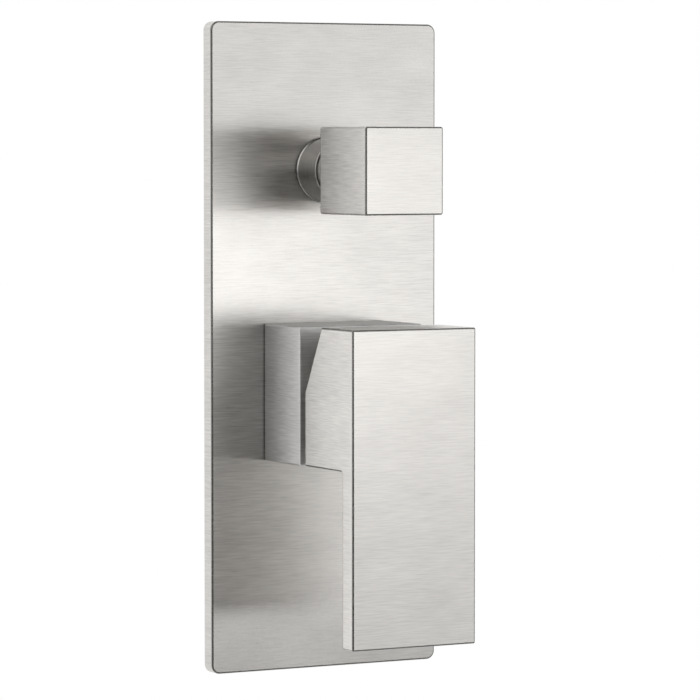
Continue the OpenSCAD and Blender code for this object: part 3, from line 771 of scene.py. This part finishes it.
def finish_piece(piece: bpy.types.Object, materials: list[bpy.types.Material], body: str, slot: str,
                 *nodes: str) -> None:
    """Smooths a piece's rounded edges, dresses it and sets it on its body in place of its solids.

    Args:
        piece: the piece.
        materials: the finish of its faces, and of its rims where they have their own; that rim finish paints
            a dark shade line along the edges.
        body: the body that it moves with.
        slot: the record's slot of its finish; not used.
        nodes: the solids that it stands for.
    """
    mesh = piece.data
    rims = np.zeros(len(mesh.polygons), np.int32)
    mesh.polygons.foreach_get("material_index", rims)
    # Clearing the materials sets every face to the first one, so the rims are read before and put back
    mesh.materials.clear()
    for material in materials:
        mesh.materials.append(material)
    mesh.polygons.foreach_set("material_index", np.minimum(rims, len(materials) - 1))
    mesh.polygons.foreach_set("use_smooth", np.ones(len(mesh.polygons), bool))
    mesh.set_sharp_from_angle(angle=SHARP_ANGLE)
    mesh.update()
    weighted = piece.modifiers.new("flat_faces_stay_flat", "WEIGHTED_NORMAL")
    weighted.keep_sharp = True
    weighted.weight = FLAT_FACE_WEIGHT
    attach(piece, body)
    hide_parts(*nodes)
    log.info("%s: %d faces on %s", piece.name, len(mesh.polygons), body)


# The object's own pieces

@dataclass
class PlateTrim:
    """The face plate: a shallow tray whose rim meets the wall, with a hole for each neck."""

    finishes: Finishes
    wall: float = 2.2 * MM
    corner: float = 3.0 * MM
    edge: float = 0.6 * MM
    mixer_hole: float = 21.8 * MM
    diverter_hole: float = 9.6 * MM

    def build(self) -> None:
        """Makes the plate round the box of its solid."""
        low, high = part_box("face_plate")
        width, height, depth = high.x - low.x, high.z - low.z, -low.y
        inner_width, inner_height = width - 2 * self.wall, height - 2 * self.wall
        loft = Loft(up=(low.z + high.z) / 2)
        loft.rounded(inner_width, inner_height, self.corner / 2, depth - self.wall)
        loft.rounded(inner_width, inner_height, self.corner / 2, 0.0)
        loft.rounded(width, height, self.corner, 0.0)
        loft.fillet_block(width, height, self.corner, depth, self.edge, front=True)
        plate = loft.piece("face_plate_skin", closed=False)
        for name, radius, up in (("mixer_hole", self.mixer_hole, 0.0),
                                 ("diverter_hole", self.diverter_hole, self.diverter_up())):
            hole = Loft(up=up).ring(radius, -MM).ring(radius, depth + MM)
            cut(plate, hole.piece(name, closed=False))
        finish_piece(plate, [self.finishes.sheet, self.finishes.rim], "valve", "trim", "face_plate")

    @staticmethod
    def diverter_up() -> float:
        """Height of the diverter axis."""
        low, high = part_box("collar_seal")
        return (low.z + high.z) / 2


@dataclass
class MixerTrim:
    """The square cover of the mixer and its lever."""

    finishes: Finishes
    edge: float = 0.55 * MM
    corner: float = 0.8 * MM
    cover_bore: float = 21.8 * MM
    cover_lip: float = 2.5 * MM
    cover_lip_bore: float = 17.0 * MM
    paddle: float = 7.2 * MM
    block_down: float = 23.0 * MM
    slant_start: float = 1.5 * MM
    slant: float = math.radians(28.2)
    paddle_root: float = 1.0 * MM
    lever_wall: float = 3.4 * MM
    boss: float = 8.5 * MM
    boss_recess: float = 4.0 * MM
    socket_gap: float = 0.1 * MM
    screw_hole: float = 2.5 * MM
    screw_boss: float = 5.0 * MM

    def build_cover(self) -> None:
        """Makes the cover as a ring: its outer side, its front with a lip, and the bore over the neck."""
        low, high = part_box("mixer_cover")
        side, back, front = high.x - low.x, -high.y, -low.y
        loft = Loft()
        loft.ring(self.cover_bore, back)
        loft.fillet_block(side, side, self.corner, back, self.edge / 2, front=False)
        loft.fillet_block(side, side, self.corner, front, self.edge, front=True)
        loft.ring(self.cover_lip_bore + self.edge, front)
        loft.ring(self.cover_lip_bore, front - self.edge)
        loft.ring(self.cover_lip_bore, front - self.cover_lip)
        loft.ring(self.cover_bore, front - self.cover_lip)
        cover = loft.piece("mixer_cover_skin", closed=True)
        finish_piece(cover, [self.finishes.cover], "valve", "trim", "mixer_cover")

    def build_lever(self) -> None:
        """Makes the lever: a solid blank, a hollow in its block, and a boss with the spindle's socket."""
        low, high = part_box("lever_handle")
        back, front, top = -high.y, -low.y, high.z
        lever = self.lever_blank(high.x - low.x, back, front, top, low.z)
        self.hollow_block(lever, high.x - low.x, back, front, top)
        self.fit_spindle(lever, back)
        finish_piece(lever, [self.finishes.trim, self.finishes.rim], "lever", "trim", "lever_handle")

    def lever_blank(self, width: float, back: float, front: float, top: float,
                    bottom: float) -> bpy.types.Object:
        """Carries the lever's side outline over its width.

        Args:
            width: the lever's width.
            back: the depth of its block's back.
            front: the depth of its front.
            top: the height of its top.
            bottom: the height of its paddle's end.

        Returns:
            The lever as one solid, with the slant on its block and the paddle that hangs from it.
        """
        paddle_back = front - self.paddle
        slant_depth = back + (top - self.slant_start) * math.tan(self.slant)
        outline, normals = filleted_outline([
            (back, self.slant_start, 2 * self.edge), (back, -self.block_down, self.edge),
            (paddle_back, -self.block_down, self.paddle_root), (paddle_back, bottom, self.paddle_root),
            (front, bottom, self.edge), (front, top, self.edge), (slant_depth, top, self.edge)])
        return extruded_piece("lever_skin", outline, normals, width, self.edge)

    def hollow_block(self, lever: bpy.types.Object, width: float, back: float, front: float,
                     top: float) -> None:
        """Takes the pocket out of the lever's block and sets the round boss in it.

        Args:
            lever: the lever.
            width: its width.
            back: the depth of its block's back.
            front: the depth of its front.
            top: the height of its top.
        """
        paddle_back = front - self.paddle
        inner = width - 2 * self.lever_wall
        pocket_up, pocket_down = top - self.lever_wall, -self.block_down + self.lever_wall
        pocket = Loft(up=(pocket_up + pocket_down) / 2)
        for depth in (back - MM, paddle_back - MM):
            pocket.rounded(inner, pocket_up - pocket_down, self.paddle_root, depth)
        cut(lever, pocket.piece("pocket", closed=False))
        boss = Loft().ring(self.boss, back + self.boss_recess).ring(self.boss, paddle_back)
        cut(lever, boss.piece("boss", closed=False), "UNION")

    def fit_spindle(self, lever: bpy.types.Object, back: float) -> None:
        """Adds the grub screw's boss and takes out the spindle's socket and the screw's hole.

        Args:
            lever: the lever.
            back: the depth of its block's back.
        """
        screw_low, screw_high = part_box("lever_grub_screw")
        screw_depth = -(screw_low.y + screw_high.y) / 2
        spindle_low, spindle_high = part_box("lever_spindle")
        half, spindle_front = spindle_high.x + self.socket_gap, self.socket_gap - spindle_low.y
        boss_down = -self.block_down + self.lever_wall / 2
        cut(lever, upright_rod("screw_boss", self.screw_boss, boss_down, -half, screw_depth), "UNION")
        socket = Loft()
        for depth in (back, spindle_front):
            socket.rounded(2 * half, 2 * half, self.edge, depth)
        cut(lever, socket.piece("socket", closed=False))
        cut(lever, upright_rod("screw_hole", self.screw_hole, -self.block_down - MM, 0.0, screw_depth))


@dataclass
class DiverterTrim:
    """The round collar on the plate and the cubic knob whose hub turns in it."""

    finishes: Finishes
    edge: float = 0.55 * MM
    corner: float = 0.8 * MM
    collar_wall: float = 0.5 * MM
    flange: float = 0.5 * MM
    flange_step: float = 0.3 * MM
    thread_bore: float = 9.1 * MM
    thread_depth: float = 13.0 * MM
    hub: float = 10.1 * MM
    nose_bore: float = 7.8 * MM
    nose_bore_end: float = 19.0 * MM
    insert_bore: float = 6.0 * MM
    insert_end: float = 47.8 * MM
    screw_hole: float = 2.0 * MM
    stand_off: float = 24.1 * MM

    def build_collar(self) -> None:
        """Makes the collar as a ring, with a small flange at the plate and a rounded front."""
        low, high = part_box("diverter_collar")
        radius, back, front = (high.x - low.x) / 2, -high.y, -low.y
        neck = radius - self.flange_step
        bore = neck - self.collar_wall
        loft = Loft(up=PlateTrim.diverter_up())
        loft.ring(self.thread_bore, back)
        loft.ring(radius - self.flange / 4, back)
        loft.ring(radius, back + self.flange / 4)
        loft.ring(radius, back + self.flange)
        loft.ring(neck, back + self.flange + self.flange_step)
        loft.fillet_ring(neck, front, self.collar_wall / 2)
        loft.ring(bore, front - self.collar_wall / 4)
        loft.ring(bore, self.thread_depth)
        loft.ring(self.thread_bore, self.thread_depth)
        collar = loft.piece("diverter_collar_skin", closed=True)
        finish_piece(collar, [self.finishes.collar], "valve", "collar", "diverter_collar")

    def build_knob(self) -> None:
        """Makes the knob from the end of its bore outwards: the bore, the hub and the cube."""
        up = PlateTrim.diverter_up()
        low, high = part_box("diverter_knob")
        side, hub_back, front = high.x - low.x, -high.y, -low.y
        cube_back = -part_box("face_plate")[0].y + self.stand_off
        loft = Loft(up=up)
        loft.ring(self.insert_bore, self.insert_end)
        loft.ring(self.insert_bore, self.nose_bore_end)
        loft.ring(self.nose_bore, self.nose_bore_end)
        loft.ring(self.nose_bore, hub_back)
        loft.ring(self.hub, hub_back)
        loft.ring(self.hub, cube_back)
        loft.fillet_block(side, side, self.corner, cube_back, self.edge, front=False)
        loft.fillet_block(side, side, self.corner, front, self.edge, front=True)
        knob = loft.piece("diverter_knob_skin", closed=False)
        screw_low, screw_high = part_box("knob_grub_screw")
        screw_depth = -(screw_low.y + screw_high.y) / 2
        cut(knob, upright_rod("knob_screw_hole", self.screw_hole, low.z - MM, up, screw_depth))
        finish_piece(knob, [self.finishes.trim, self.finishes.rim], "diverter", "trim", "diverter_knob")


@dataclass
class Valve:
    """Every solid that keeps its own shape: the valve in the wall and what lies inside the trim."""

    finishes: Finishes
    record: dict
    nodes: dict[str, bpy.types.Object]

    def dress(self) -> None:
        """Gives each solid the material of its slot."""
        slots = {row["node"]: row["material_slot"] for row in self.record["subparts"]}
        for name, node in self.nodes.items():
            node.data.materials.clear()
            node.data.materials.append(self.finishes.for_slot(slots[name]))
            log.info("%s: %s", name, slots[name])


# The studio and the camera

@dataclass(frozen=True)
class SoftPatch:
    """A round soft light far away, which fades from its core to its rim. Its angles are in degrees."""

    azimuth: float
    elevation: float
    core: float
    rim: float
    strength: float

    def light(self, tree: NodeTree, direction: bpy.types.NodeSocket) -> Value:
        """The patch's brightness in a direction.

        Args:
            tree: the world's tree.
            direction: the direction from the object.

        Returns:
            The strength inside the core, none outside the rim, and a smooth fall between them. The azimuth is
            counted to the right of straight out of the wall.
        """
        turn, lift = math.radians(self.azimuth), math.radians(self.elevation)
        middle = (math.sin(turn) * math.cos(lift), -math.cos(turn) * math.cos(lift), math.sin(lift))
        dot = tree.add("ShaderNodeVectorMath", {"operation": "DOT_PRODUCT"}, {0: direction, 1: middle})
        inner, outer = math.cos(math.radians(self.core)), math.cos(math.radians(self.rim))
        return tree.value(dot, "Value").above((inner + outer) / 2, (inner - outer) / 2) * self.strength


@dataclass(frozen=True)
class SoftLamp:
    """A square soft lamp that looks at the tap."""

    name: str
    at: tuple[float, float, float]
    size: float
    power: float

    def build(self) -> None:
        """Makes the lamp."""
        data = bpy.data.lights.new(self.name, "AREA")
        data.size, data.energy = self.size, self.power
        made = bpy.data.objects.new(self.name, data)
        made.location = self.at
        made.rotation_mode = "QUATERNION"
        made.rotation_quaternion = (-made.location).to_track_quat("-Z", "Y")
        bpy.context.scene.collection.objects.link(made)


@dataclass
class Studio:
    """A white wall, a pale floor and a soft sky with a dark side round the camera."""

    wall_size: float = 3.0
    wall_behind: float = 0.0004
    wall_colour: Colour = (0.9, 0.9, 0.9)
    wall_glow: float = 1.0
    wall_in_gloss: float = 1.2
    floor_drop: float = 0.6
    floor_colour: Colour = (0.85, 0.85, 0.85)
    floor_glow: float = 1.0
    dim_ground: float = 0.05
    patches: tuple[SoftPatch, ...] = (
        SoftPatch(azimuth=37.0, elevation=0.0, core=5.0, rim=33.0, strength=1.76),
        SoftPatch(azimuth=24.0, elevation=34.0, core=5.0, rim=28.0, strength=0.4),
        SoftPatch(azimuth=26.0, elevation=-30.0, core=5.0, rim=26.0, strength=1.9),
        SoftPatch(azimuth=-50.0, elevation=30.0, core=10.0, rim=45.0, strength=0.8),
    )
    lamps: tuple[SoftLamp, ...] = (
        SoftLamp("back_fill", at=(-0.6, 1.6, 0.6), size=1.0, power=6.0),
        SoftLamp("front_glow", at=(0.03, -0.30, 0.03), size=0.08, power=0.05),
    )

    @staticmethod
    def sheet(name: str, size: float, at: tuple[float, float, float], tilt: float) -> bpy.types.Object:
        """Makes a square stage sheet, whose front is its local +Z.

        Args:
            name: the sheet's name.
            size: its side.
            at: where its middle lies.
            tilt: its turn about X.

        Returns:
            The object.
        """
        half = size / 2
        points = [(-half, -half, 0.0), (half, -half, 0.0), (half, half, 0.0), (-half, half, 0.0)]
        mesh = bpy.data.meshes.new(name)
        mesh.from_pydata(points, [], [[0, 1, 2, 3]])
        made = bpy.data.objects.new(name, mesh)
        made.location = at
        made.rotation_euler = (tilt, 0.0, 0.0)
        bpy.context.scene.collection.objects.link(made)
        return made

    @staticmethod
    def either(tree: NodeTree, share: Value | bpy.types.NodeSocket, first: bpy.types.Node,
               second: bpy.types.Node) -> bpy.types.Node:
        """The first surface where the share is 0 and the second where it is 1."""
        return tree.add("ShaderNodeMixShader", inputs={0: share, 1: first.outputs[0], 2: second.outputs[0]})

    def one_sided(self, shader: Shader, front: bpy.types.Node, piece: bpy.types.Object) -> None:
        """Gives a sheet its surface on its front, and leaves it clear from behind.

        Args:
            shader: the nodes of the sheet's material.
            front: the surface on its front.
            piece: the sheet.
        """
        clear = shader.add("ShaderNodeBsdfTransparent")
        behind = shader.add("ShaderNodeNewGeometry").outputs["Backfacing"]
        shader.finish(self.either(shader, behind, front, clear).outputs[0])
        piece.data.materials.append(shader.material)

    def build_wall(self) -> None:
        """Makes the wall: white from the front, and clear from behind so that the valve in it can be seen."""
        wall = self.sheet("wall", self.wall_size, (0.0, self.wall_behind, 0.0), math.pi / 2)
        shader = Shader("white_wall")
        plaster = shader.add("ShaderNodeBsdfDiffuse", inputs={"Color": self.wall_colour})
        seen = shader.add("ShaderNodeEmission", inputs={"Strength": self.wall_glow})
        mirrored = shader.add("ShaderNodeEmission", inputs={"Strength": self.wall_in_gloss})
        unseen = self.either(shader, shader.ray_is("Glossy"), plaster, mirrored)
        direct = shader.ray_is("Camera", "Transmission")
        self.one_sided(shader, self.either(shader, direct, unseen, seen), wall)

    def build_floor(self) -> None:
        """Makes the pale floor, far below the tap: white with a soft shadow, and clear from below."""
        floor = self.sheet("floor", 2 * self.wall_size, (0.0, 0.0, -self.floor_drop), 0.0)
        shader = Shader("pale_floor")
        plain = shader.add("ShaderNodeBsdfDiffuse", inputs={"Color": self.floor_colour})
        glow = shader.add("ShaderNodeEmission", inputs={"Strength": self.floor_glow})
        both = shader.add("ShaderNodeAddShader", inputs={0: plain.outputs[0], 1: glow.outputs[0]})
        direct = shader.ray_is("Camera", "Transmission")
        self.one_sided(shader, self.either(shader, direct, plain, both), floor)

    def build_world(self) -> None:
        """Makes the sky: plain white to the camera, and soft lights on a dim ground for everything else."""
        world = bpy.data.worlds.new("soft_sky")
        bpy.context.scene.world = world
        tree = NodeTree(world, "ShaderNodeOutputWorld")
        direction = tree.add("ShaderNodeTexCoord").outputs["Generated"]
        light = sum((patch.light(tree, direction) for patch in self.patches), self.dim_ground)
        sky = tree.add("ShaderNodeBackground", inputs={"Color": WHITE, "Strength": light})
        white = tree.add("ShaderNodeBackground", inputs={"Color": WHITE, "Strength": 1.0})
        tree.finish(self.either(tree, tree.ray_is("Camera"), sky, white).outputs[0])

    def build(self) -> None:
        """Sets up the whole studio."""
        self.build_wall()
        self.build_floor()
        self.build_world()
        for lamp in self.lamps:
            lamp.build()


@dataclass
class PhotoCamera:
    """The photograph's camera, which looks from the left and slightly from above at a point of the plate."""

    lens: float = 197.5
    sensor: float = 36.0
    nearest: float = 0.01
    yaw: float = math.radians(28.02)
    pitch: float = math.radians(3.07)
    distance: float = 1.315
    aim_x: float = 0.0097
    aim_z: float = 0.0134

    def build(self) -> None:
        """Makes the camera on a line to its aim on the plate's front."""
        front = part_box("face_plate")[0].y
        ahead = np.array([math.sin(self.yaw) * math.cos(self.pitch),
                          math.cos(self.yaw) * math.cos(self.pitch), -math.sin(self.pitch)])
        data = bpy.data.cameras.new("camera")
        data.lens = self.lens
        data.sensor_width = self.sensor
        data.clip_start = self.nearest
        made = bpy.data.objects.new("camera", data)
        made.location = np.array([self.aim_x, front, self.aim_z]) - self.distance * ahead
        made.rotation_euler = (math.pi / 2 - self.pitch, 0.0, -self.yaw)
        bpy.context.scene.collection.objects.link(made)
        bpy.context.scene.camera = made


def main() -> None:
    """Builds the studio and the object's pieces in order."""
    logging.basicConfig(level=logging.INFO, format="%(message)s")
    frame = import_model()
    bpy.context.scene.view_settings.view_transform = "Standard"
    PhotoCamera().build()
    finishes = Finishes()
    Valve(finishes, frame["record"], frame["nodes"]).dress()
    PlateTrim(finishes).build()
    mixer = MixerTrim(finishes)
    mixer.build_cover()
    mixer.build_lever()
    diverter = DiverterTrim(finishes)
    diverter.build_collar()
    diverter.build_knob()
    Studio().build()


if __name__ == "__main__":
    main()
